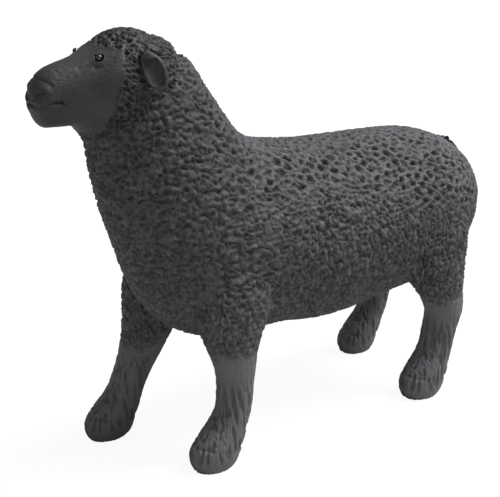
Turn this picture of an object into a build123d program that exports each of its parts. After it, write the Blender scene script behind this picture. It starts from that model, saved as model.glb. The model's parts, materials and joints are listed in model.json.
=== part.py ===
from build123d import *
import math
import os

# Standing sheep, cast in resin as two hollow halves of a body, a head and four lower legs.
# Millimetres. The head looks towards -Y, the animal's left side is +X, the soles stand on z = 0,
# and the origin is under the middle of the whole figure.

# Overall size
overall_length = 348.0
overall_height = 276.0
body_width = 113.0
back_height = 193.5
belly_height = 68.0

# Head and neck
head_length = 96.0
head_depth = 61.0
head_width = 60.0

# Where the legs carry the body: how far ahead of and behind the middle of the figure, and how
# far inside the widest line of the body
shoulder_ahead = 61.0
hip_behind = 101.0
front_leg_inset = 19.5
rear_leg_inset = 14.5

# How far each foot stands ahead of its shoulder or hip, and ahead of its own fetlock
front_left_stride = 22.0
front_right_stride = 59.0
rear_left_stride = 7.0
rear_right_stride = -3.0
front_left_pastern_reach = 15.0
front_right_pastern_reach = 17.0
rear_left_pastern_reach = 13.0
rear_right_pastern_reach = 17.0

# Lower legs
fetlock_height = 36.0
front_left_shank_radius = 12.0
front_right_shank_radius = 12.0
rear_left_shank_radius = 12.5
rear_right_shank_radius = 11.5
hock_set_back = 6.0
leg_head_height = 140.0
cleft_width = 1.6
cleft_height = 13.0
cleft_depth = 9.0

# Where the fleece ends on each leg, above or below the belly line
front_left_fleece_rise = 4.5
front_right_fleece_rise = -11.5
rear_left_fleece_rise = 6.5
rear_right_fleece_rise = 2.5

# Castings and glued joints
wall = 5.0
glue_gap = 0.2
neck_spigot_depth = 10.0
neck_spigot_taper = 1.0
leg_spigot_radius = 7.0
leg_spigot_depth = 11.0

# Inner seam band, leg blocks and steel rods
band_width = 16.0
band_thickness = 2.5
block_length = 52.0
block_top_height = 121.0
leg_rod_radius = 2.5
leg_rod_foot_cover = 8.0
leg_rod_top_cover = 8.0
neck_rod_radius = 3.0
neck_rod_bite = 14.0

# Ears, eyes and tail
ear_length = 21.0
ear_width = 14.5
ear_thickness = 5.0
ear_dish_depth = 3.2
ear_rim_width = 2.0
ear_pin_radius = 1.5
ear_pin_length = 8.0
ear_pin_drop = 1.8
eye_radius = 2.6
eye_pin_radius = 1.2
eye_pin_length = 6.0
eye_bulge = 0.5
tail_length = 62.0
tail_width = 24.0
tail_thickness = 18.0
tail_stand_out = 6.0
tail_pole_sink = 4.13
tail_pin_radius = 3.0
tail_pin_length = 3.6

# One overrun for every cut
overrun = 300.0

half_length = overall_length / 2
half_width = body_width / 2
nose_y = -half_length
rump_y = half_length - tail_stand_out
crown_z = overall_height

# Barrel of the body from the loin to the withers: how far back from the middle, top line,
# belly line and width, and how high its widest line runs between the two
barrel_wide_share = 0.5
barrel_shares = (
    (0.472, 0.992, 1.090, 0.985),
    (0.241, 1.000, 1.020, 1.000),
    (0.040, 1.010, 1.020, 1.000),
    (-0.132, 1.034, 1.080, 0.970),
)
# Rump: the barrel closes in a rounded end that falls away towards the tail
rump_angle_shares = (0.97, 0.86, 0.72, 0.55, 0.36, 0.18)
rump_fall_share = -0.06
# Neck: the run of its top line and its chest line from the withers to the head, each as a pair
# of shares along Y and Z, then the share of the narrowing
neck_shares = (
    (0.236, 0.080, 0.387, 0.018, 0.08),
    (0.418, 0.220, 0.685, 0.182, 0.22),
    (0.582, 0.431, 0.832, 0.453, 0.44),
    (0.745, 0.665, 0.922, 0.693, 0.68),
    (0.873, 0.860, 0.968, 0.876, 0.86),
)
# Head: crown line and jaw line, each as shares of the head's length back from the nose and of
# its depth down from the crown, then the width and the height of the widest line
head_shares = (
    (1.000, 0.290, 0.315, 1.000, 1.000, 0.50),
    (0.922, 0.199, 0.299, 0.968, 0.992, 0.51),
    (0.844, 0.107, 0.283, 0.935, 0.983, 0.52),
    (0.766, 0.064, 0.272, 0.910, 0.957, 0.535),
    (0.688, 0.014, 0.260, 0.885, 0.930, 0.55),
    (0.542, 0.020, 0.245, 0.860, 0.867, 0.58),
    (0.417, 0.125, 0.219, 0.850, 0.750, 0.60),
    (0.302, 0.205, 0.167, 0.850, 0.600, 0.60),
    (0.188, 0.250, 0.104, 0.845, 0.500, 0.55),
    (0.083, 0.310, 0.052, 0.825, 0.433, 0.50),
    (0.026, 0.400, 0.021, 0.760, 0.343, 0.50),
    (0.000, 0.500, 0.000, 0.660, 0.180, 0.50),
)
# Foot, from the sole up to the fetlock: height as a share of the fetlock's, reach forward as a
# share of the pastern's, then length and width as shares of the shank's radius
foot_shares = (
    (0.00, 1.00, 1.12, 0.88),
    (0.19, 0.92, 1.46, 1.04),
    (0.40, 0.79, 1.54, 1.08),
    (0.61, 0.51, 1.38, 1.03),
    (0.81, 0.22, 1.14, 1.00),
)
# Shanks, from the fetlock to the head of the leg inside the body, at even steps: drift from the
# fetlock to the shoulder or hip, set-back at the hock, then length and width as shares of the
# shank's radius
front_left_shank_shares = (
    (0.00, 0.0, 1.00, 1.00),
    (0.25, 0.0, 1.00, 1.00),
    (0.32, 0.0, 1.08, 1.04),
    (0.18, 0.0, 1.34, 1.16),
    (0.05, 0.0, 1.78, 1.33),
    (0.25, 0.0, 2.08, 1.46),
    (0.70, 0.0, 2.10, 1.48),
    (1.00, 0.0, 2.05, 1.35),
    (1.00, 0.0, 1.85, 1.05),
)
front_right_shank_shares = (
    (0.00, 0.0, 1.08, 1.00),
    (0.16, 0.0, 1.20, 1.02),
    (0.32, 0.0, 1.48, 1.10),
    (0.45, 0.0, 1.80, 1.22),
    (0.54, 0.0, 2.04, 1.36),
    (0.60, 0.0, 2.20, 1.46),
    (0.70, 0.0, 2.25, 1.48),
    (0.85, 0.0, 2.15, 1.35),
    (1.00, 0.0, 1.90, 1.05),
)
rear_shank_shares = (
    (0.00, 0.0, 1.00, 1.00),
    (0.00, 0.5, 1.03, 1.00),
    (0.00, 1.0, 1.17, 1.02),
    (0.25, 0.7, 1.45, 1.08),
    (0.70, 0.3, 1.95, 1.12),
    (1.00, 0.0, 2.34, 1.12),
    (1.15, 0.0, 2.50, 1.08),
    (1.15, 0.0, 2.48, 0.97),
    (1.15, 0.0, 2.25, 0.75),
)
# Ear, from the root to the tip: run along the ear, width, thickness, and how far its middle
# bows out from the line of the root, as a share of half the width
ear_shares = (
    (0.00, 0.52, 0.95, 0.10),
    (0.16, 0.80, 1.00, 0.30),
    (0.42, 0.98, 0.95, 0.50),
    (0.68, 0.92, 0.80, 0.62),
    (0.88, 0.64, 0.62, 0.74),
    (1.00, 0.22, 0.30, 0.84),
)
# Tail, from the root down: run along the tail, width and thickness
tail_shares = (
    (0.00, 0.55, 0.45),
    (0.18, 0.86, 0.82),
    (0.45, 1.00, 1.00),
    (0.75, 0.86, 0.86),
    (0.94, 0.50, 0.50),
    (1.00, 0.20, 0.20),
)

# Places of the eye and the ear on the head, as shares of its length and depth
eye_back_share = 0.375
eye_down_share = 0.22
ear_back_share = 0.604
ear_down_share = 0.192
ear_out_share = 0.86
tail_root_angle_share = 0.5
# Directions of the left ear: along it, the way its hollow looks, and out of the head at its pin
ear_along_shares = (0.30, -0.05, -0.95)
ear_facing_shares = (0.77, -0.54, 0.34)
ear_pin_shares = (0.86, 0.12, 0.50)


def yz(y, z):
    return Vector(0, y, z)


def barrel_station(row):
    y_share, top_share, bottom_share, width_share = row
    y = y_share * half_length
    return (yz(y, top_share * back_height), yz(y, bottom_share * belly_height),
            width_share * half_width, barrel_wide_share)


def rump_station(angle_share, inset):
    """One section of the rounded end, which closes up as an ellipse and falls away."""
    loin_top, loin_bottom, loin_half_width, wide_share = barrel_station(barrel_shares[0])
    half_depth = (loin_top - loin_bottom).length / 2
    back_share = math.sin(angle_share * math.pi / 2)
    size_share = math.cos(angle_share * math.pi / 2)
    y = loin_top.Y + (rump_y - loin_top.Y - inset) * back_share
    z = loin_bottom.Z + half_depth - rump_fall_share * half_depth * back_share ** 2
    depth = (half_depth - inset) * size_share
    return (yz(y, z + depth), yz(y, z - depth), (loin_half_width - inset) * size_share,
            wide_share)


def head_station(row):
    crown_back, crown_down, jaw_back, jaw_down, width_share, wide_share = row
    return (yz(nose_y + crown_back * head_length, crown_z - crown_down * head_depth),
            yz(nose_y + jaw_back * head_length, crown_z - jaw_down * head_depth),
            width_share * head_width / 2, wide_share)


def neck_station(row):
    top_y, top_z, chest_y, chest_z, narrowing = row
    start_top, start_bottom, start_width, wide_share = barrel_station(barrel_shares[-1])
    end_top, end_bottom, end_width, _ = head_station(head_shares[0])
    top = yz(start_top.Y + top_y * (end_top.Y - start_top.Y),
             start_top.Z + top_z * (end_top.Z - start_top.Z))
    bottom = yz(start_bottom.Y + chest_y * (end_bottom.Y - start_bottom.Y),
                start_bottom.Z + chest_z * (end_bottom.Z - start_bottom.Z))
    return top, bottom, start_width + narrowing * (end_width - start_width), wide_share


def inset_station(station, inset):
    top, bottom, width, wide_share = station
    up = (top - bottom).normalized()
    return top - up * inset, bottom + up * inset, width - inset, wide_share


def egg(station, half=False):
    """An egg-shaped section between its top and bottom points, whole or only its +X half."""
    top, bottom, width, wide_share = station
    up = (top - bottom).normalized()
    depth = (top - bottom).length
    below = depth * wide_share
    above = depth - below
    plane = Plane(origin=bottom + up * below, x_dir=(1, 0, 0), z_dir=Vector(1, 0, 0).cross(up))
    edges = [EllipticalCenterArc((0, 0), width, below, -90, arc_size=90),
             EllipticalCenterArc((0, 0), width, above, 0, arc_size=90)]
    if half:
        edges.append(Line((0, above), (0, -below)))
    else:
        edges.append(EllipticalCenterArc((0, 0), width, above, 90, arc_size=90))
        edges.append(EllipticalCenterArc((0, 0), width, below, 180, arc_size=90))
    return plane * make_face(edges)


def trunk_stations(inset):
    """Rump, barrel and neck in one row, drawn in by the inset on every side."""
    trunk = [barrel_station(row) for row in barrel_shares]
    trunk += [neck_station(row) for row in neck_shares]
    trunk.append(head_station(head_shares[0]))
    rump = [rump_station(angle_share, inset) for angle_share in rump_angle_shares]
    return rump + [inset_station(station, inset) for station in trunk]


def trunk(inset, half=False, past_neck=0.0):
    """The body's outer form, or drawn in by an inset the cavity, run on past the neck's end."""
    stations = trunk_stations(inset)
    if past_neck:
        top, bottom, width, wide_share = stations[-1]
        onward = joint_frame().z_dir * past_neck
        stations.append((top + onward, bottom + onward, width, wide_share))
    return loft([egg(station, half) for station in stations])


def joint_frame():
    """The plane where the head meets the neck, with Z towards the head."""
    top, bottom, _, _ = head_station(head_shares[0])
    up = (top - bottom).normalized()
    return Plane(origin=(top + bottom) / 2, x_dir=(1, 0, 0), z_dir=Vector(1, 0, 0).cross(up))


def leg_axis(leg):
    """The straight line of a leg's steel rod, from inside the foot to inside the block."""
    low_z = fetlock_height - leg_rod_foot_cover
    high_z = block_top_height - leg_rod_top_cover
    slope = (leg["top_y"] - leg["fetlock_y"]) / (block_top_height - fetlock_height)
    low = Vector(leg["x"], leg["fetlock_y"] + slope * (low_z - fetlock_height), low_z)
    high = Vector(leg["x"], leg["fetlock_y"] + slope * (high_z - fetlock_height), high_z)
    return low, high


def make_leg(name, x, top_y, stride, reach, radius, fleece_rise, shank_shares):
    """The facts of one leg, worked out from the sizes at the top."""
    return {
        "name": name,
        "x": x,
        "top_y": top_y,
        "foot_y": top_y - stride,
        "fetlock_y": top_y - stride + reach,
        "reach": reach,
        "radius": radius,
        "split_z": belly_height + fleece_rise,
        "shank_shares": shank_shares,
    }


legs = [
    make_leg("front_left", half_width - front_leg_inset, -shoulder_ahead, front_left_stride,
             front_left_pastern_reach, front_left_shank_radius, front_left_fleece_rise,
             front_left_shank_shares),
    make_leg("front_right", front_leg_inset - half_width, -shoulder_ahead, front_right_stride,
             front_right_pastern_reach, front_right_shank_radius, front_right_fleece_rise,
             front_right_shank_shares),
    make_leg("rear_left", half_width - rear_leg_inset, hip_behind, rear_left_stride,
             rear_left_pastern_reach, rear_left_shank_radius, rear_left_fleece_rise,
             rear_shank_shares),
    make_leg("rear_right", rear_leg_inset - half_width, hip_behind, rear_right_stride,
             rear_right_pastern_reach, rear_right_shank_radius, rear_right_fleece_rise,
             rear_shank_shares),
]


def leg_form(leg):
    """The whole outer form of a leg, from the flat sole to its head inside the body."""
    radius = leg["radius"]
    sections = []
    for height, forward, length, width in foot_shares:
        y = leg["fetlock_y"] - forward * leg["reach"]
        place = Pos(leg["x"], y, height * fetlock_height)
        sections.append(place * Ellipse(width * radius, length * radius))
    step = (leg_head_height - fetlock_height) / (len(leg["shank_shares"]) - 1)
    for index, (drift, hock, length, width) in enumerate(leg["shank_shares"]):
        y = leg["fetlock_y"] + drift * (leg["top_y"] - leg["fetlock_y"]) + hock * hock_set_back
        z = fetlock_height + index * step
        sections.append(Pos(leg["x"], y, z) * Ellipse(width * radius, length * radius))
    return loft(sections)


def rod_between(low, high, radius):
    axis = high - low
    return Plane(origin=low, z_dir=axis) * extrude(Circle(radius), axis.length)


def point_at_height(leg, z):
    low, high = leg_axis(leg)
    return low + (high - low) * ((z - low.Z) / (high.Z - low.Z))


def leg_socket(leg, gap):
    """The round spigot on top of a lower leg, or with a gap its socket in the fleece above."""
    low, high = leg_axis(leg)
    direction = (high - low).normalized()
    foot = point_at_height(leg, leg["split_z"]) - direction * leg_spigot_radius
    head = point_at_height(leg, leg["split_z"]) + direction * (leg_spigot_depth + gap)
    return rod_between(foot, head, leg_spigot_radius + gap)


def above(z):
    return Pos(0, 0, z) * Box(overrun * 2, overrun * 2, overrun * 2,
                              align=(Align.CENTER, Align.CENTER, Align.MIN))


def lower_leg(leg, form):
    """Smooth shank and cloven hoof, with the spigot and the bore for the rod."""
    casting = form - above(leg["split_z"]) + (leg_socket(leg, 0) & (above(leg["split_z"])))
    low, high = leg_axis(leg)
    casting -= rod_between(low - (high - low).normalized() * glue_gap, high,
                           leg_rod_radius + glue_gap)
    toe_y = leg["foot_y"] - foot_shares[2][2] * leg["radius"]
    cleft = Pos(leg["x"], toe_y, 0) * Box(cleft_width, cleft_depth * 2, cleft_height * 2)
    return casting - cleft


def body_shell(side, forms, cavity):
    """One hollow half of the fleece, with the heads of its two legs cast on."""
    shell = trunk(0, half=True)
    if side < 0:
        shell = mirror(shell, about=Plane.YZ)
    own = [leg for leg in legs if leg["x"] * side > 0]
    for leg in own:
        shell += forms[leg["name"]] & above(leg["split_z"])
    shell -= cavity
    for leg in own:
        low, high = leg_axis(leg)
        shell -= forms[leg["name"]] - above(leg["split_z"])
        shell -= leg_socket(leg, glue_gap)
        shell -= rod_between(low, high, leg_rod_radius + glue_gap)
    return shell - tail_pin(glue_gap)


def band_zone(wide, near, far):
    """The room along the seam between two insets of the cavity."""
    zone = trunk(near, past_neck=neck_spigot_depth) & Box(wide, overrun * 4, overrun * 4)
    return zone - trunk(far, past_neck=neck_spigot_depth * 2)


def seam_band():
    """The strip bonded over the seam inside the two halves, stopping short of the head's spigot."""
    near = wall + glue_gap
    clear = joint_frame().offset(-neck_spigot_depth - neck_spigot_taper)
    past_joint = clear * Box(overrun, overrun, overrun,
                             align=(Align.CENTER, Align.CENTER, Align.MIN))
    return band_zone(band_width, near, near + band_thickness) - past_joint


def leg_block(middle_y, own):
    """The solid block in the floor of the cavity that two leg rods are set in."""
    box = Pos(0, middle_y, block_top_height) * Box(
        body_width, block_length, block_top_height,
        align=(Align.CENTER, Align.CENTER, Align.MAX))
    block = box & trunk(wall + glue_gap)
    block -= band_zone(band_width + 2 * glue_gap, wall, wall + 2 * glue_gap + band_thickness)
    for leg in own:
        low, high = leg_axis(leg)
        tip = high + (high - low).normalized() * glue_gap
        block -= rod_between(low, tip, leg_rod_radius + glue_gap)
    low, high = neck_rod_axis()
    start = low - (high - low).normalized() * glue_gap
    return block - rod_between(start, high, neck_rod_radius + glue_gap)


def neck_rod_axis():
    """From the middle of the front block's head up through the middle of the neck joint."""
    low = Vector(0, -shoulder_ahead, block_top_height - neck_rod_bite)
    joint = joint_frame().origin
    direction = (joint - low).normalized()
    return low, joint + direction * neck_rod_bite


def head_form(inset):
    """The outer form of wool cap, face and muzzle, or grown by a negative inset."""
    return loft([egg(inset_station(head_station(row), inset)) for row in head_shares])


def neck_spigot():
    """The spigot on the back of the head that fills the neck's end."""
    joint = inset_station(head_station(head_shares[0]), wall + glue_gap)
    back = joint_frame().z_dir * neck_spigot_depth
    top, bottom, width, wide_share = inset_station(joint, neck_spigot_taper)
    end = (top - back, bottom - back, width, wide_share)
    return loft([egg(end), egg(joint)])


def head_casting():
    """The head with the bore for the neck rod and the sockets for its eyes and ears."""
    low, high = neck_rod_axis()
    tip = high + (high - low).normalized() * glue_gap
    head = head_form(0) + neck_spigot() - rod_between(low, tip, neck_rod_radius + glue_gap)
    for piece in (eye(glue_gap), ear_pin(glue_gap)):
        head -= piece
        head -= mirror(piece, about=Plane.YZ)
    return head


def eye_place():
    """The middle of the left eye, sunk so that only its cap stands out of the brow."""
    crown, jaw, width, wide_share = head_station(head_shares[6])
    z = crown_z - eye_down_share * head_depth
    above_wide = (crown.Z - jaw.Z) * (1 - wide_share)
    rise_share = (z - crown.Z + above_wide) / above_wide
    x = width * math.sqrt(1 - rise_share ** 2) + eye_bulge - eye_radius
    return Vector(x, nose_y + eye_back_share * head_length, z)


def eye(gap=0.0):
    """A polished ball with a short peg behind it; with a gap it is the socket it sits in."""
    place = eye_place()
    peg_end = place - Vector(eye_pin_length + gap, 0, 0)
    return Pos(place) * Sphere(eye_radius + gap) + rod_between(place, peg_end, eye_pin_radius + gap)


def ear_frame():
    """At the left ear's root: Z along the ear, X across it, Y the way its hollow looks."""
    along = Vector(*ear_along_shares)
    facing = Vector(*ear_facing_shares)
    root = Vector(ear_out_share * head_width / 2, nose_y + ear_back_share * head_length,
                  crown_z - ear_down_share * head_depth)
    return Plane(origin=root, x_dir=facing.cross(along), z_dir=along)


def ear_pin(gap=0.0):
    frame = ear_frame()
    middle = frame.origin + frame.z_dir * ear_pin_drop
    inward = Vector(*ear_pin_shares).normalized() * -(ear_pin_length + gap)
    return rod_between(middle, middle + inward, ear_pin_radius + gap)


def ear(head):
    """A drooping leaf-shaped ear with a hollow, seated on the side of the head by its pin."""
    frame = ear_frame()
    leaf = loft([frame.offset(run * ear_length) * Pos(bow * ear_width / 2, 0)
                 * Ellipse(width * ear_width / 2, thick * ear_thickness / 2)
                 for run, width, thick, bow in ear_shares])
    dish = loft([frame.offset(run * ear_length)
                 * Pos(bow * ear_width / 2, thick * ear_thickness / 2)
                 * Ellipse(width * ear_width / 2 - ear_rim_width, thick * ear_dish_depth)
                 for run, width, thick, bow in ear_shares[1:-1]])
    return leaf - dish - head + ear_pin()


def tail_pin(gap=0.0):
    pole = rump_station(1, 0)[0]
    inner = pole - yz(tail_pin_length + gap, 0)
    return rod_between(inner, pole + yz(tail_stand_out / 2, 0), tail_pin_radius + gap)


def tail(body):
    """The short woolly tail, cast by itself and pinned over the seam of the rump."""
    root = rump_station(tail_root_angle_share, 0)[0]
    past_pole = rump_station(1, 0)[0] - yz(tail_pole_sink, 0)
    frame = Plane(origin=root, x_dir=(1, 0, 0), z_dir=past_pole - root)
    lock = loft([frame.offset(run * tail_length)
                 * Ellipse(width * tail_width / 2, thick * tail_thickness / 2)
                 for run, width, thick in tail_shares])
    return lock - body + tail_pin()


def export(name, solid):
    solid.label = name
    export_step(solid, f"parts/{name}.step")


def main():
    os.makedirs("parts", exist_ok=True)
    forms = {leg["name"]: leg_form(leg) for leg in legs}
    cavity = trunk(wall, past_neck=neck_spigot_depth)
    for side, name in ((1, "left"), (-1, "right")):
        export(f"body_shell_{name}", body_shell(side, forms, cavity))
    for leg in legs:
        export(f"leg_{leg['name']}", lower_leg(leg, forms[leg["name"]]))
        low, high = leg_axis(leg)
        export(f"leg_rod_{leg['name']}", rod_between(low, high, leg_rod_radius))
    export("body_seam_band", seam_band())
    export("front_leg_block", leg_block(-shoulder_ahead, legs[:2]))
    export("rear_leg_block", leg_block(hip_behind, legs[2:]))
    low, high = neck_rod_axis()
    export("neck_rod", rod_between(low, high, neck_rod_radius))
    export("head_casting", head_casting())
    for name, piece in (("eye", eye()), ("ear", ear(head_form(-glue_gap)))):
        export(f"{name}_left", piece)
        export(f"{name}_right", mirror(piece, about=Plane.YZ))
    export("tail", tail(trunk(-glue_gap)))


main()
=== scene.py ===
import bmesh
import bpy
import json
import math
import numpy as np
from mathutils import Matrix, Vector, noise
from mathutils.kdtree import KDTree


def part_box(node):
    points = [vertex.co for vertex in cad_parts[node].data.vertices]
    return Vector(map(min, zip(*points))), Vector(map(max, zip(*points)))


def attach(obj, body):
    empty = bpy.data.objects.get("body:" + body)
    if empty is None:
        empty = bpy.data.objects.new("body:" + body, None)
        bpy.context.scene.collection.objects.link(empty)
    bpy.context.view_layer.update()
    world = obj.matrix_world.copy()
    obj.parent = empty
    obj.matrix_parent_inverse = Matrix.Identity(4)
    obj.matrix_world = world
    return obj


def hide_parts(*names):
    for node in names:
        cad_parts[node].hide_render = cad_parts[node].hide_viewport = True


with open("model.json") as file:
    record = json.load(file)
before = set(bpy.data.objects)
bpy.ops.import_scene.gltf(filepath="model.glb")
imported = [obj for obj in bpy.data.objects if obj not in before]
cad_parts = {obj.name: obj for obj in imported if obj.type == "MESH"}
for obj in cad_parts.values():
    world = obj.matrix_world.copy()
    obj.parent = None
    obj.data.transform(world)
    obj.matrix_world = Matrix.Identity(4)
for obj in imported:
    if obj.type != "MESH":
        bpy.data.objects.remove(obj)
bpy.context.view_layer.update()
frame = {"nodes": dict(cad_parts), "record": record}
for spare in ("Cube", "Light", "Camera"):
    if spare in bpy.data.objects:
        bpy.data.objects.remove(bpy.data.objects[spare])


# Body shells. Two hollow halves of rump, barrel, chest and neck, cast in charcoal resin with the
# woolly tops of the legs. The head and the lower legs are bonded to them, so the outsides of all
# castings are worked as one skin, and each piece is cut from it where the real castings meet.
castings = ["body_shell_left", "body_shell_right", "head_casting", "leg_front_left",
            "leg_front_right", "leg_rear_left", "leg_rear_right"]
fillers = ["eye_left", "eye_right", "body_seam_band", "front_leg_block", "rear_leg_block"]
weld_distance = 3e-8
seam_growth = 0.0003


def link(mesh):
    piece = bpy.data.objects.new(mesh.name, mesh)
    bpy.context.scene.collection.objects.link(piece)
    return piece


def closed_copy(node):
    """A loose copy of a node of the frame, with its split corners welded so that it is closed."""
    form = bmesh.new()
    form.from_mesh(frame["nodes"][node].data)
    bmesh.ops.remove_doubles(form, verts=form.verts, dist=weld_distance)
    torn = {v for edge in form.edges if len(edge.link_faces) != 2 for v in edge.verts}
    bmesh.ops.delete(form, geom=list(torn), context="VERTS")
    rim = [edge for edge in form.edges if len(edge.link_faces) == 1]
    bmesh.ops.holes_fill(form, edges=rim, sides=0)
    mesh = bpy.data.meshes.new(node + "_copy")
    form.to_mesh(mesh)
    form.free()
    return link(mesh)


def another(piece):
    """A second object with its own copy of the mesh."""
    return link(piece.data.copy())


def read_points(mesh):
    values = np.empty(len(mesh.vertices) * 3, np.float32)
    mesh.vertices.foreach_get("co", values)
    return values.reshape(-1, 3).astype(float)


def read_normals(mesh):
    values = np.empty(len(mesh.vertices) * 3, np.float32)
    mesh.vertex_normals.foreach_get("vector", values)
    return values.reshape(-1, 3).astype(float)


def write_points(mesh, points):
    mesh.vertices.foreach_set("co", points.astype(np.float32).ravel())
    mesh.update()


def swollen(node, growth):
    """A closed copy of a node, grown all round."""
    piece = closed_copy(node)
    points = read_points(piece.data)
    write_points(piece.data, points + read_normals(piece.data) * growth)
    return piece


def settle(piece):
    """Applies the piece's modifiers for good."""
    graph = bpy.context.evaluated_depsgraph_get()
    mesh = bpy.data.meshes.new_from_object(piece.evaluated_get(graph))
    piece.modifiers.clear()
    piece.data = mesh


def combine(piece, other, operation):
    """Joins the piece with another closed mesh or keeps what they share, and uses that mesh up."""
    step = piece.modifiers.new(operation, "BOOLEAN")
    step.operation = operation
    step.solver = "MANIFOLD"
    step.object = other
    settle(piece)
    bpy.data.objects.remove(other)


def keep_outermost(piece):
    """Drops the hollows inside: only what is linked to the foremost vertex stays."""
    form = bmesh.new()
    form.from_mesh(piece.data)
    front = [min(form.verts, key=lambda vertex: vertex.co.y)]
    seen = set(front)
    while front:
        vertex = front.pop()
        for edge in vertex.link_edges:
            other = edge.other_vert(vertex)
            if other not in seen:
                seen.add(other)
                front.append(other)
    bmesh.ops.delete(form, geom=[v for v in form.verts if v not in seen], context="VERTS")
    form.to_mesh(piece.data)
    form.free()


def remeshed(piece, grain, easing):
    """An even net of small squares over the whole piece, with its creases eased."""
    net = piece.modifiers.new("net", "REMESH")
    net.mode = "VOXEL"
    net.voxel_size = grain
    ease = piece.modifiers.new("ease", "SMOOTH")
    ease.factor = 0.5
    ease.iterations = easing
    settle(piece)
    return piece


whole = swollen(castings[0], seam_growth)
for casting in castings[1:] + fillers:
    combine(whole, swollen(casting, seam_growth), "UNION")
keep_outermost(whole)

# Where the wool is. It ends behind the eyes, under the jaw and at the leg joints; the forelock
# reaches further forward, and the face and the shanks are clean. A fade is the pair of places
# where a change starts and ends.
brow_y = -0.1265
brow_height = 0.266
cheek_slope = 0.33
forelock_low = 0.2662
forelock_high = 0.2705
forelock_reach = 0.014
throat_height = 0.219
throat_fade = 0.004
wool_line_fade = (0.0022, -0.0012)
wool_line_lump = 0.006
wool_line_wander = 0.0012
fleece_ends = {"front_left": 0.0745, "front_right": 0.0600,
               "rear_left": 0.0700, "rear_right": 0.0660}
hem_fade = (-0.004, 0.011)
hem_lump = 0.008
hem_wander = 0.003
noise_gain = 1.6
soles = {mount["name"].removeprefix("sole_"): Vector(mount["pos_m"])
         for mount in frame["record"]["mounts"]}


def ramp(low, high, values):
    """A smooth step from 0 at low to 1 at high, whichever of the two is larger."""
    share = np.clip((values - low) / (high - low), 0.0, 1.0)
    return share * share * (3.0 - 2.0 * share)


def drift(points, lump, seed):
    """Soft noise from about -1 to 1, with lumps of the given size."""
    return np.array([noise.noise(place) for place in (points / lump + seed).tolist()]) * noise_gain


def face_share(points):
    """1 on the bare face, 0 where the wool begins behind the eyes and under the jaw."""
    height = points[:, 2]
    line = brow_y - cheek_slope * (brow_height - height)
    line -= forelock_reach * ramp(forelock_low, forelock_high, height)
    wander = drift(points, wool_line_lump, seed=4.0) * wool_line_wander
    ahead = ramp(*wool_line_fade, points[:, 1] - line + wander)
    return ahead * ramp(throat_height - throat_fade, throat_height + throat_fade, height)


def wool_share(points):
    """1 in the fleece, 0 on the face and on the shanks."""
    share = 1.0 - face_share(points)
    for name, sole in soles.items():
        end = fleece_ends[name] + drift(points, hem_lump, seed=9.0) * hem_wander
        own = (points[:, 0] * sole.x > 0) & ((points[:, 1] > 0) == (sole.y > 0))
        share[own] *= ramp(*hem_fade, points[own, 2] - end[own])
    return share


# How the wool lies. Each lock is a small form with its own place and direction: open curls on the
# back and rump, shingled waves on neck and shoulder, hanging locks on the flanks, short ones on
# the cheeks and leg tops. The lists give curl, wave, hanging, short and cheek locks in turn.
lock_widths = [0.0060, 0.0042, 0.0034, 0.0034, 0.0032]
lock_lengths = [0.0068, 0.0078, 0.0120, 0.0062, 0.0070]
lock_depths = [0.0027, 0.0017, 0.0019, 0.0013, 0.0012]
short_hang = 0.8
zone_lump = 0.022
zone_wander = 0.008
withers_y = -0.045
withers_fade_behind = 0.030
withers_fade_ahead = 0.012
loin_height = 0.172
loin_fade = 0.009
haunch_fall = 0.26
nape_up = (0.15, 0.50)
nape_back = (-0.10, 0.15)
poll_height = 0.232
poll_fade = 0.012
poll_up = (-0.10, 0.30)
poll_shallow = 0.45
elbow_height = 0.118
elbow_fade_above = 0.012
elbow_fade_below = 0.014
cheek_rise = (0.216, 0.230)
cheek_reach = 0.024
turn_range = (0.25, 0.75)
sway_lump = 0.010
sway_angle = 0.5
tiny = 1e-9
nudge = 1e-6


def unit(vectors):
    return vectors / np.maximum(np.linalg.norm(vectors, axis=-1, keepdims=True), tiny)


def lay(points, normals):
    """Width, length and depth of the locks at each point, how far they are curls, waves and
    hanging locks, and their direction with the way down."""
    x, y, z = points.T
    wander = drift(points, zone_lump, seed=2.0) * zone_wander
    fore = ramp(withers_y + withers_fade_behind, withers_y - withers_fade_ahead, y + wander)
    loin = loin_height - haunch_fall * np.maximum(y, 0)
    high = ramp(-loin_fade, loin_fade, z + wander - loin)
    nape = ramp(*nape_up, normals[:, 2]) * ramp(*nape_back, normals[:, 1])
    poll = ramp(poll_height, poll_height + poll_fade, z) * ramp(*poll_up, normals[:, 2])
    crest = np.maximum(nape, poll)
    limb = ramp(elbow_height + elbow_fade_above, elbow_height - elbow_fade_below, z + wander) * fore
    cheek = face_share(points - [0, cheek_reach, 0]) * ramp(*cheek_rise, z) * (1 - crest)
    rest = (1 - crest) * (1 - cheek)
    shares = np.array([(1 - fore) * high + fore * crest, fore * rest * (1 - limb),
                       (1 - fore) * (1 - high), fore * rest * limb, fore * cheek])
    shares /= shares.sum(0)
    level = unit(np.cross(normals, [0.0, 0.0, 1.0]) + [0.0, nudge, 0.0])
    down = unit(np.cross(level, normals))
    down *= -np.sign(down[:, 2:] + tiny)
    hang = shares[2] + short_hang * shares[3] + shares[4]
    sway = drift(points, sway_lump, seed=6.0) * sway_angle
    turn = (math.pi / 2) * ramp(*turn_range, hang) + sway
    along = unit(level * np.cos(turn)[:, None] + down * np.sin(turn)[:, None])
    width = np.dot(lock_widths, shares)
    length = np.dot(lock_lengths, shares)
    depth = np.dot(lock_depths, shares) * (1.0 - poll_shallow * poll)
    return width, length, depth, (shares[0], shares[1], hang), along, down


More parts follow.
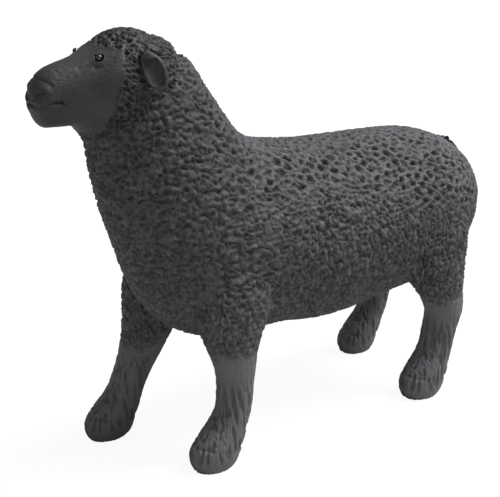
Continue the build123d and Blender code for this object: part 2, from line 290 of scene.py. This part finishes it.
# The locks themselves. They are planted at random, no nearer than their size allows, and cut in:
# a curl in its middle, a wave below the one above it, and a hanging lock along its edges, each
# with fine strands and knobs.
body_grain = 0.00102
lock_seed = 7
least_wool = 0.02
packing = 0.86
strength_loss = 0.55
strength_bend = 1.5
neighbours = 10
rise_weight = 0.5
wobble_lump = 0.0035
wobble_reach = 0.0010
wobble_seeds = (11.0, 23.0, 37.0)
curl_middle = (0.20, 0.85)
lock_edge = (0.34, 0.0)
shingle_slope = (0.5, -0.5)
wave_edge = 0.25
wave_shingle = 0.75
strand_length = 0.0042
strand_width = 0.0017
strand_shift = 3.7
strand_depth = 0.00026
knob_lump = 0.0031
knob_range = (0.0, 0.8)
knob_depth = 0.00136
skin_inset = 0.00040


def tree_of(points):
    tree = KDTree(len(points))
    for index, place in enumerate(points.tolist()):
        tree.insert(place, index)
    tree.balance()
    return tree


def plant(net, chance):
    """The locks of one skin: no two nearer than their own width and length allow."""
    points = read_points(net.data)
    normals = read_normals(net.data)
    width, length, _, _, along, down = lay(points, normals)
    tree = tree_of(points)
    free = wool_share(points) > least_wool
    own = []
    for index in chance.permutation(len(points)):
        if not free[index]:
            continue
        own.append(index)
        hits = [hit[1] for hit in tree.find_range(points[index], length[index] * packing)]
        offset = points[hits] - points[index]
        run = offset @ along[index]
        side = (offset * offset).sum(1) - run * run
        span = (run / length[index]) ** 2 + side / width[index] ** 2
        free[np.array(hits)[span < packing ** 2]] = False
    strength = 1.0 - strength_loss * chance.random(len(own)) ** strength_bend
    return {"tree": tree_of(points[own]), "place": points[own], "normal": normals[own],
            "along": along[own], "down": down[own], "width": width[own],
            "length": length[own], "strength": strength}


def fleece_relief(points, normals, locks):
    """How deep the fleece is worked in at each point, with the crowns of the locks at zero."""
    _, _, depth, (curl, wave, hang), _, _ = lay(points, normals)
    wobble = np.stack([drift(points, wobble_lump, seed) for seed in wobble_seeds], 1)
    bent = points + wobble * wobble_reach
    near = np.array([[hit[1] for hit in locks["tree"].find_n(place, neighbours)]
                     for place in bent.tolist()])
    offset = bent[:, None, :] - locks["place"][near]
    run = (offset * locks["along"][near]).sum(2)
    rise = (offset * locks["normal"][near]).sum(2)
    side = (offset * offset).sum(2) - run * run - rise * rise
    width = locks["width"][near]
    span = np.sqrt((run / locks["length"][near]) ** 2 + np.maximum(side, 0) / width ** 2
                   + rise_weight * (rise / width) ** 2)
    order = np.argsort(span, axis=1)[:, :2]
    first, second = np.take_along_axis(span, order, 1).T
    own = np.take_along_axis(near, order[:, :1], 1)[:, 0]
    reach = bent - locks["place"][own]
    middle = ramp(*curl_middle, second - first)
    edge = ramp(*lock_edge, second - first)
    shingle = ramp(*shingle_slope, (reach * locks["down"][own]).sum(1) / locks["width"][own])
    hollow = curl * middle + wave * (wave_edge * edge + wave_shingle * shingle) + hang * edge
    across = np.cross(locks["normal"][own], locks["along"][own])
    strand = np.stack([(reach * locks["along"][own]).sum(1) / strand_length,
                       (reach * across).sum(1) / strand_width, own * strand_shift], 1)
    strands = drift(strand, 1.0, seed=0.5)
    knobs = np.abs(drift(points, knob_lump, seed=31.0))
    pit = depth * hollow * locks["strength"][own]
    return -pit - strand_depth * (1.0 - strands) - knob_depth * ramp(*knob_range, knobs)


def skin_of(net, locks, carve):
    """Works an even net into the skin: cut in by the fleece and by what carve gives."""
    keep_outermost(net)
    points = read_points(net.data)
    normals = read_normals(net.data)
    relief = fleece_relief(points, normals, locks) * wool_share(points) + carve(points)
    write_points(net.data, points + normals * (relief - skin_inset)[:, None])
    return net, relief


def no_carving(points):
    return np.zeros(len(points))


body_net = remeshed(another(whole), body_grain, easing=12)
keep_outermost(body_net)
locks = plant(body_net, np.random.default_rng(lock_seed))
body_skin, relief = skin_of(body_net, locks, no_carving)

# The resin is matt and coloured through, and browner at the front of the muzzle. Painted light is
# put into its colour as well: painted shade in the pits of the fleece, crowns made lighter partly
# as dry-brushed paint and partly as a painted highlight, a lighter and bluer painted highlight on
# what faces up, and painted shade darkening it towards the head. Ranges ending in level are depths
# below the crowns, and scales are grains per metre.
pit_shade_tone = (0.012, 0.012, 0.0125, 1.0)
resin_tone = (0.050, 0.050, 0.051, 1.0)
crown_tone = (0.108, 0.108, 0.111, 1.0)
painted_top_light_tone = (0.124, 0.119, 0.150, 1.0)
muzzle_tone = (0.060, 0.056, 0.045, 1.0)
shadow_tone = (0.0, 0.0, 0.0, 1.0)
noise_middle = 0.5
cloud_scale = 38.0
speckle_scale = 620.0
speckle_level = 0.0006
strand_level = 0.0005
pit_shade_level = (-0.0022, -0.0008)
crown_level = (-0.0008, -0.0001)
painted_top_light_level = (-0.0016, -0.0003)
painted_top_light_facing = (0.05, 0.90)
painted_top_light_cloud = (0.38, 0.62)
painted_top_light_amount = 0.75
muzzle_y = -0.160
muzzle_fade_behind = 0.006
muzzle_fade_ahead = 0.008
muzzle_amount = 0.8
fleck_range = (-0.28, 0.50)
fleck_amount = 0.9
head_rise = (0.15, 0.25)
head_shade = 0.35
resin_roughness = 0.60
cloud_roughness = 0.14
pit_roughness = 40.0
resin_specular = 0.38
speckle_bump = 0.4
strand_bump = 0.6


class Wire:
    """One value on its way through a material: sums and products of wires add their nodes."""

    def __init__(self, tree, socket):
        self.tree = tree
        self.socket = socket

    def made(self, kind, settings, inputs, output=0):
        """Adds any other node: sets it up, feeds its inputs and gives its output."""
        node = self.tree.nodes.new(kind)
        for name, value in settings.items():
            setattr(node, name, value)
        for name, value in inputs.items():
            if isinstance(value, Wire):
                self.tree.links.new(value.socket, node.inputs[name])
            else:
                node.inputs[name].default_value = value
        return Wire(self.tree, node.outputs[output])

    def math(self, operation, *values):
        return self.made("ShaderNodeMath", {"operation": operation}, dict(enumerate(values)))

    def __add__(self, other):
        return self.math("ADD", self, other)

    def __sub__(self, other):
        return self.math("SUBTRACT", self, other)

    def __rsub__(self, other):
        return self.math("SUBTRACT", other, self)

    def __mul__(self, other):
        return self.math("MULTIPLY", self, other)

    __radd__ = __add__
    __rmul__ = __mul__

    def step(self, low, high):
        """A smooth step from 0 at low to 1 at high, whichever of the two is larger."""
        if low > high:
            return 1.0 - self.step(high, low)
        return self.made("ShaderNodeMapRange", {"interpolation_type": "SMOOTHSTEP"},
                         {"Value": self, "From Min": low, "From Max": high})

    def mix(self, first, second):
        """The first colour where this is 0 and the second where it is 1."""
        return self.made("ShaderNodeMix", {"data_type": "RGBA"},
                         {"Factor": self, 6: first, 7: second}, 2)

    def noise(self, place, scale, detail=3.0, rough=0.55):
        return self.made("ShaderNodeTexNoise", {}, {"Vector": place, "Scale": scale,
                                                    "Detail": detail, "Roughness": rough})

    def stretched(self, place, scale):
        return self.made("ShaderNodeMapping", {}, {"Vector": place, "Scale": scale})

    def bumps(self, height, reach):
        return self.made("ShaderNodeBump", {}, {"Height": height, "Distance": reach,
                                                "Strength": 1.0})

    def axis(self, place, index):
        return self.made("ShaderNodeSeparateXYZ", {}, {"Vector": place}, index)


def new_material(name):
    """An empty material: its shader, a wire to start from and the place on the object."""
    material = bpy.data.materials.new(name)
    material.use_nodes = True
    tree = material.node_tree
    shader = tree.nodes["Principled BSDF"]
    wire = Wire(tree, shader.outputs[0])
    place = wire.made("ShaderNodeTexCoord", {}, {}, "Object")
    return material, shader, wire, place


def feed(shader, **inputs):
    """Links wires to the shader's sockets and sets plain values on them."""
    for name, value in inputs.items():
        socket = shader.inputs[name.replace("_", " ").title().replace("Ior", "IOR")]
        if isinstance(value, Wire):
            value.tree.links.new(value.socket, socket)
        else:
            socket.default_value = value


def charcoal(name, shade, strand_scale, strand_reach):
    """The figure's resin, as light as its painted shade says, with strands of the given fineness.
    """
    material, shader, wire, place = new_material(name)
    relief = wire.made("ShaderNodeAttribute", {"attribute_name": "relief"}, {}, "Fac")
    facing = wire.axis(wire.made("ShaderNodeNewGeometry", {}, {}, "Normal"), 2)
    cloud = wire.noise(place, cloud_scale)
    speckle = wire.noise(place, speckle_scale, detail=4.0, rough=0.7)
    strands = wire.noise(wire.stretched(place, strand_scale), 1.0, rough=0.6)
    fleck = speckle - noise_middle
    rise = relief + fleck * speckle_level + (strands - noise_middle) * strand_level
    # Painted shade: the pits of the fleece are darker, where shade falls.
    low = rise.step(*pit_shade_level).mix(pit_shade_tone, resin_tone)
    # Lighter crowns: partly dry-brushed paint, partly a painted highlight.
    tone = rise.step(*crown_level).mix(low, crown_tone)
    # Painted highlight: a lighter, bluer colour on what faces up, in patches and away from the
    # pits.
    painted_top_light = facing.step(*painted_top_light_facing) * cloud.step(*painted_top_light_cloud) * rise.step(*painted_top_light_level)
    tone = (painted_top_light * painted_top_light_amount).mix(tone, painted_top_light_tone)
    front = wire.axis(place, 1)
    muzzle = front.step(muzzle_y + muzzle_fade_behind, muzzle_y - muzzle_fade_ahead)
    tone = (muzzle * muzzle_amount).mix(tone, muzzle_tone)
    tone = (fleck * fleck_amount).step(*fleck_range).mix(tone, crown_tone)
    # Painted shade: darker towards the head, and darker all over as the copy's shade says.
    shadow = wire.axis(place, 2).step(*head_rise) * head_shade + (1.0 - shade)
    tone = shadow.mix(tone, shadow_tone)
    clouding = (cloud - noise_middle) * cloud_roughness
    bump = wire.bumps(speckle * speckle_bump + strands * strand_bump, strand_reach)
    feed(shader, base_color=tone, roughness=resin_roughness + clouding - rise * pit_roughness,
         normal=bump, specular_ior_level=resin_specular)
    return material


# The fleece's copy of the resin, a little darkened by painted shade.
fleece_resin = charcoal("fleece_resin", shade=0.92, strand_scale=(700.0, 700.0, 240.0),
                        strand_reach=0.0011)

# The two shells. The glue nearly fills the joints, so each piece is cut a little fuller than its
# solid, though not below the soles.
joint_fill = 0.00008
crease_angle = math.radians(70)


def mark_relief(piece, relief):
    """Keeps the carving's depth on the piece, for its material's painted shade, highlights and
    roughness.
    """
    mark = piece.data.attributes.new("relief", "FLOAT", "POINT")
    mark.data.foreach_set("value", relief.astype(np.float32))


def cut_piece(node, net, relief):
    """A node of the frame with its outside replaced by the worked skin and its glue joints
    nearly filled."""
    tree = tree_of(read_points(net.data))
    piece = swollen(node, joint_fill)
    combine(piece, net, "INTERSECT")
    points = read_points(piece.data)
    points[:, 2] = np.maximum(points[:, 2], 0.0)
    write_points(piece.data, points)
    own = [tree.find(place)[1] for place in points.tolist()]
    mark_relief(piece, relief[own])
    piece.data.shade_smooth()
    piece.data.set_sharp_from_angle(angle=crease_angle)
    return piece


def hand_in(piece, name, node, material):
    """Names the finished piece, gives it its material and puts it in the node's place."""
    piece.name = name
    piece.data.name = name
    piece.data.materials.clear()
    piece.data.materials.append(material)
    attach(piece, "root")
    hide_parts(node)


for side in ("left", "right"):
    node = "body_shell_" + side
    piece = cut_piece(node, another(body_skin), relief)
    hand_in(piece, "fleece_" + side, node, fleece_resin)
bpy.data.objects.remove(body_skin)


# Inner castings. The band over the seam and the two blocks for the rods are raw resin, paler than
# the outside and pitted by small bubbles; nobody sees them, so they keep their plain forms.
raw_dark = (0.100, 0.100, 0.092, 1.0)
raw_pale = (0.185, 0.184, 0.170, 1.0)
flow_scale = (30.0, 30.0, 90.0)
flow_range = (0.3, 0.7)
flow_bump = 0.5
bubble_scale = 420.0
bubble_rim = (0.28, 0.16)
raw_roughness = 0.62
bubble_roughness = 0.2
bubble_reach = 0.0003

raw_resin, shader, wire, place = new_material("raw_resin")
flow = wire.noise(wire.stretched(place, flow_scale), 1.0, detail=4.0, rough=0.6)
bubbles = wire.made("ShaderNodeTexVoronoi", {"feature": "F1"},
                    {"Vector": place, "Scale": bubble_scale}, "Distance")
pits = bubbles.step(*bubble_rim)
feed(shader, base_color=flow.step(*flow_range).mix(raw_dark, raw_pale),
     roughness=raw_roughness + pits * bubble_roughness,
     normal=wire.bumps(flow * flow_bump - pits, bubble_reach))
for node in ("body_seam_band", "front_leg_block", "rear_leg_block"):
    frame["nodes"][node].material_slots[0].material = raw_resin


# Lower legs. Solid shanks that taper to a thin pastern and flare into a cloven hoof, with long
# strands that fan down over it, a ledge above its toes and a notch under its heel. Each is cast
# by itself and bonded up into the fleece above it.
# The shanks' copy of the resin, a little darkened by painted shade and with finer strands.
smooth_resin = charcoal("smooth_resin", shade=0.95, strand_scale=(1300.0, 1300.0, 260.0),
                        strand_reach=0.00020)
leg_grain = 0.00055
cut_margin = 0.012
foot_reach = 0.03
hair_lump = 0.0011
hair_stretch = (1.0, 1.0, 0.22)
hair_depth = 0.00026
feather_low = 0.004
feather_low_fade = 0.008
feather_high = 0.058
feather_high_fade = 0.010
feather_fan = 9.0
feather_stretch = 0.11
feather_lump = 0.0019
feather_range = (0.15, -0.55)
feather_depth = 0.00084
toe_fade = (0.004, -0.008)
ledge_height = 0.0150
ledge_slope = 0.25
ledge_width = 0.0012
ledge_depth = 0.00040
heel_fade = (0.004, 0.012)
heel_height = 0.0125
heel_width = 0.0016
heel_depth = 0.0011


def hoof_carving(points):
    """The hair of the shanks, the long strands over each hoof, the ledge above its toes and the
    notch under its heel."""
    carved = drift(points * hair_stretch, hair_lump, seed=3.0) * hair_depth
    for sole in soles.values():
        off = points - [sole.x, sole.y, 0.0]
        x, y, z = off.T
        near = np.hypot(x, y) < foot_reach
        spread = 1.0 + feather_fan * np.maximum(feather_high - z, 0.0)
        fan = np.stack([x / spread, y / spread, z * feather_stretch], 1)
        strands = drift(fan, feather_lump, seed=17.0)
        zone = ramp(feather_low, feather_low + feather_low_fade, z)
        zone *= ramp(feather_high + feather_high_fade, feather_high - feather_high_fade, z)
        carved -= near * zone * feather_depth * ramp(*feather_range, strands)
        ledge = np.exp(-((z - ledge_height + ledge_slope * y) / ledge_width) ** 2)
        carved -= near * ramp(*toe_fade, y) * ledge * ledge_depth
        heel = np.exp(-((z - heel_height) / heel_width) ** 2)
        carved -= near * ramp(*heel_fade, y) * heel * heel_depth
    return carved


def block(low, high):
    """A closed box between two corners."""
    form = bmesh.new()
    bmesh.ops.create_cube(form, size=1.0)
    for vertex in form.verts:
        vertex.co = [low[i] + (vertex.co[i] + 0.5) * (high[i] - low[i]) for i in range(3)]
    mesh = bpy.data.meshes.new("block")
    form.to_mesh(mesh)
    form.free()
    return link(mesh)


def near_part(node):
    """The part of the whole form around one node, with some margin to be cut away."""
    low, high = (np.array(corner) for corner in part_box(node))
    part = another(whole)
    combine(part, block(low - cut_margin, high + cut_margin), "INTERSECT")
    return part


for name in soles:
    node = "leg_" + name
    net = remeshed(near_part(node), leg_grain, easing=6)
    skin, relief = skin_of(net, locks, hoof_carving)
    hand_in(cut_piece(node, skin, relief), "shank_" + name, node, smooth_resin)


# Rods. Drawn steel, one up through each leg into its block and one up the neck into the head,
# cut to length, bonded into their bores and left bare.
steel_dark = (0.30, 0.30, 0.31, 1.0)
steel_pale = (0.52, 0.52, 0.54, 1.0)
draw_scale = (2600.0, 2600.0, 60.0)
draw_reach = 0.00005
draw_roughness = 0.15
smear_scale = 70.0
smear_range = (0.3, 0.7)
smear_roughness = 0.1
steel_roughness = 0.30

steel, shader, wire, place = new_material("drawn_steel")
lines = wire.noise(wire.stretched(place, draw_scale), 1.0, detail=2.0, rough=0.5)
smear = wire.noise(place, smear_scale)
feed(shader, base_color=smear.step(*smear_range).mix(steel_dark, steel_pale), metallic=1.0,
     roughness=steel_roughness + lines * draw_roughness + smear * smear_roughness,
     normal=wire.bumps(lines, draw_reach))
for node in ("leg_rod_front_left", "leg_rod_front_right", "leg_rod_rear_left",
             "leg_rod_rear_right", "neck_rod"):
    frame["nodes"][node].material_slots[0].material = steel


# Head. Woolly poll and cheeks round a smooth face with a long Roman nose, comma nostrils, a thin
# closed mouth and a raised edge round each socket, cast in one with the spigot in the neck. The
# paths of its features are for the left side, and the right side mirrors them.
# The face's copy of the resin, darkened most by painted shade.
face_resin = charcoal("face_resin", shade=0.62, strand_scale=(1300.0, 1300.0, 260.0),
                      strand_reach=0.00020)
face_grain = 0.00055
face_hair_lump = 0.0009
face_hair_stretch = (1.0, 0.3, 1.0)
face_hair_depth = 0.00010
face_sink = 0.00048
socket_edge = (0.0036, 0.0070)
# The box of an eye also holds its peg, which points inward, so the ball's middle lies half the
# ball's height in from the outer side.
low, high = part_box("eye_left")
eye_middle = Vector((high[0] - (high[2] - low[2]) / 2, (low[1] + high[1]) / 2,
                     (low[2] + high[2]) / 2))
nostril = [(.0036, -.1738, .2415), (.0052, -.1738, .2438), (.0075, -.1726, .2460),
           (.0100, -.1700, .2462)]
nostril_rim = [(.0065, -.1722, .2488), (.0100, -.1695, .2490), (.0119, -.1672, .2465)]
philtrum = [(0.0, -.1750, .2392), (0.0, -.1748, .2440)]
nose_edge = [(.0030, -.1712, .2540), (.0072, -.1690, .2528), (.0118, -.1655, .2500)]
mouth = [(0.0, -.1748, .2385), (.0060, -.1733, .2387), (.0105, -.1705, .2394),
         (.0135, -.1660, .2405), (.0152, -.1612, .2402)]
mouth_corner = [(.0152, -.1612, .2402), (.0160, -.1585, .2380)]
upper_lip = [(.0040, -.1748, .2408), (.0098, -.1712, .2418), (.0135, -.1668, .2428)]
lower_lip = [(.0040, -.1738, .2362), (.0098, -.1700, .2368), (.0130, -.1655, .2375)]
chin_line = [(.0050, -.1715, .2330), (.0100, -.1675, .2325), (.0125, -.1620, .2330)]
brow = [(.0128, -.1462, .2648), (.0150, -.1420, .2668), (.0168, -.1380, .2672),
        (.0185, -.1335, .2662)]
tear_line = [(.0162, -.1425, .2612), (.0146, -.1460, .2596), (.0128, -.1500, .2588)]
under_eye = [(.0172, -.1425, .2585), (.0185, -.1380, .2580), (.0192, -.1340, .2592)]
cheek_line = [(.0175, -.1500, .2440), (.0200, -.1430, .2390), (.0205, -.1370, .2330)]
nose_bone = [(.0095, -.1560, .2560), (.0110, -.1500, .2580), (.0120, -.1450, .2610)]
# Each feature is its path, its width and its height, which is below zero where it is a groove.
features = [
    (nostril, 0.0011, -0.0014), (nostril_rim, 0.0016, 0.0004), (philtrum, 0.0008, -0.0008),
    (nose_edge, 0.0010, -0.0005), (mouth, 0.0008, -0.0013), (mouth_corner, 0.0010, -0.0009),
    (upper_lip, 0.0013, 0.0004), (lower_lip, 0.0013, 0.0004), (chin_line, 0.0016, -0.0005),
    (brow, 0.0018, 0.0010), (tear_line, 0.0012, -0.0008), (under_eye, 0.0014, -0.0006),
    (cheek_line, 0.0040, 0.0006), (nose_bone, 0.0022, 0.0004),
]
wrinkle_place = (.0098, -.1600, .2535)
wrinkle_fade = (0.011, 0.003)
wrinkle_lump = 0.0020
wrinkle_stretch = (1.0, 1.0, 0.45)
wrinkle_depth = 0.00012


def on_left(points):
    """The points with the sheep's right side folded over onto its left."""
    return np.abs(points * [1, 0, 0]) + points * [0, 1, 1]


def groove(folded, path, width):
    """1 on the line through the path's points, fading out at the width."""
    nearest = np.full(len(folded), 1.0)
    for start, end in zip(np.array(path), np.array(path)[1:]):
        run = end - start
        share = np.clip((folded - start) @ run / (run @ run), 0.0, 1.0)
        apart = np.linalg.norm(folded - start - share[:, None] * run, axis=1)
        nearest = np.minimum(nearest, apart)
    return np.exp(-(nearest / width) ** 2)


def face_carving(points):
    """The short hair, the edges of the sockets, the features and the wrinkles of the nose."""
    face = face_share(points)
    folded = on_left(points)
    carved = drift(points * face_hair_stretch, face_hair_lump, seed=5.0) * face_hair_depth * face
    socket = np.linalg.norm(folded - eye_middle, axis=1)
    carved -= face_sink * face * ramp(*socket_edge, socket)
    for path, width, height in features:
        carved += height * groove(folded, path, width)
    apart = np.linalg.norm(folded - wrinkle_place, axis=1)
    folds = drift(points * wrinkle_stretch, wrinkle_lump, seed=8.0)
    return carved + wrinkle_depth * folds * ramp(*wrinkle_fade, apart)


net = remeshed(near_part("head_casting"), face_grain, easing=6)
skin, relief = skin_of(net, locks, face_carving)
head = cut_piece("head_casting", skin, relief)
hand_in(head, "head", "head_casting", face_resin)


# Ears. Thin drooping leaves of the same resin, each pinned into the head, with a hollow that looks
# ahead and outward, a raised rim and short hair.
ear_grain = 0.00030
ear_hair_lump = 0.0010
ear_hair_stretch = (1.0, 1.0, 0.3)
ear_hair_depth = 0.00012
ear_hair_contrast = 2.0
ear_level = -0.0003

for side in ("left", "right"):
    node = "ear_" + side
    ear = remeshed(closed_copy(node), ear_grain, easing=5)
    points = read_points(ear.data)
    normals = read_normals(ear.data)
    hair = drift(points * ear_hair_stretch, ear_hair_lump, seed=14.0) * ear_hair_depth
    write_points(ear.data, points + normals * (hair - ear_hair_depth)[:, None])
    # The ear's hair is marked deeper than it is cut, so that the painted shade and highlights on it
    # are stronger.
    mark_relief(ear, hair * ear_hair_contrast + ear_level)
    ear.data.shade_smooth()
    hand_in(ear, "ear_leaf_" + side, node, face_resin)


# Eyes. Polished black balls under a clear coat, each on a peg in the head and set a little
# deeper than its socket's edge.
eye_grain = 0.00020
eye_sink = 0.00080
eye_dark = (0.004, 0.004, 0.005, 1.0)
eye_brown = (0.016, 0.012, 0.010, 1.0)
smoke_scale = 900.0
smoke_range = (0.35, 0.75)
smoke_roughness = 0.06
eye_roughness = 0.10
eye_coat = 0.6
polish_reach = 0.00001

eye_gloss, shader, wire, place = new_material("eye_gloss")
smoke = wire.noise(place, smoke_scale)
feed(shader, base_color=smoke.step(*smoke_range).mix(eye_dark, eye_brown),
     roughness=eye_roughness + smoke * smoke_roughness, normal=wire.bumps(smoke, polish_reach),
     coat_weight=eye_coat)
for side in ("left", "right"):
    ball = remeshed(swollen("eye_" + side, -eye_sink), eye_grain, easing=4)
    ball.data.shade_smooth()
    hand_in(ball, "eye_ball_" + side, "eye_" + side, eye_gloss)


# Tail. Short and woolly, with locks that hang down. It is cast in the same resin by itself and
# pinned over the seam on the rump.
tail_grain = 0.00060

net = remeshed(swollen("tail", seam_growth), tail_grain, easing=6)
tail_locks = plant(net, np.random.default_rng(lock_seed + 1))
skin, relief = skin_of(net, tail_locks, no_carving)
hand_in(cut_piece("tail", skin, relief), "tail_wool", "tail", fleece_resin)
bpy.data.objects.remove(whole)


# Floor. The figure stands on a plain white sheet that runs on past the edges of the view. Seen
# directly it is nearly white and keeps the figure's soft shadow.
floor_size = 14.0
floor_tone = (0.52, 0.52, 0.52, 1.0)
floor_roughness = 0.85
floor_glow = 0.80
glow_tone = (1.0, 1.0, 1.0, 1.0)
glow_strength = 1.16

sheet, shader, wire, _ = new_material("white_sheet")
camera_ray = wire.made("ShaderNodeLightPath", {}, {}, "Is Camera Ray")
feed(shader, base_color=floor_tone, roughness=floor_roughness)
glow = wire.made("ShaderNodeEmission", {}, {"Color": glow_tone, "Strength": glow_strength})
seen = wire.made("ShaderNodeMixShader", {}, {0: camera_ray * floor_glow, 1: wire, 2: glow})
surface = sheet.node_tree.nodes["Material Output"].inputs["Surface"]
sheet.node_tree.links.new(seen.socket, surface)

bpy.ops.mesh.primitive_plane_add(size=floor_size, location=(0, 0, 0))
floor = bpy.context.object
floor.name = "floor"
floor.data.materials.append(sheet)


# Light. A broad soft key from high behind the rump, a small lamp ahead for the eyes, and a pale
# room that is white where the camera looks past the sheet.
key_direction = Vector((0.22, 0.52, 0.85))
key_distance = 2.0
key_spread = math.radians(34)
key_strength = 4.9
glint_place = Vector((1.05, -0.45, 0.95))
glint_size = 0.22
glint_power = 1.0
room_tone = (1.0, 1.0, 1.0, 1.0)
room_strength = 0.30
room_seen = 1.05


def place_lamp(light, place, direction):
    lamp = bpy.data.objects.new(light.name, light)
    lamp.location = place
    lamp.rotation_euler = direction.to_track_quat("Z", "Y").to_euler()
    bpy.context.scene.collection.objects.link(lamp)


key = bpy.data.lights.new("key", "SUN")
key.angle = key_spread
key.energy = key_strength
place_lamp(key, key_direction * key_distance, key_direction)

glint = bpy.data.lights.new("glint", "AREA")
glint.shape = "DISK"
glint.size = glint_size
glint.energy = glint_power
place_lamp(glint, glint_place, glint_place - eye_middle)

room = bpy.data.worlds.new("room")
room.use_nodes = True
sky = room.node_tree.nodes["Background"]
wire = Wire(room.node_tree, sky.outputs[0])
straight = wire.made("ShaderNodeLightPath", {}, {}, "Is Camera Ray")
bright = straight * (room_seen - room_strength) + room_strength
room.node_tree.links.new(bright.socket, sky.inputs["Strength"])
sky.inputs["Color"].default_value = room_tone
bpy.context.scene.world = room


# Camera, at the photograph's place: ahead of the left shoulder and looking 20 degrees down, with
# a long lens.
film_width = 36.0
focal_length = 72.0
camera_place = (0.50506, -0.38397, 0.3505)
camera_tilt = math.radians(70.0)
camera_turn = math.radians(54.84)

scene = bpy.context.scene
lens = bpy.data.cameras.new("camera")
lens.sensor_width = film_width
lens.lens = focal_length
camera = bpy.data.objects.new("camera", lens)
camera.location = camera_place
camera.rotation_euler = (camera_tilt, 0.0, camera_turn)
scene.collection.objects.link(camera)
scene.camera = camera
scene.view_settings.view_transform = "Standard"
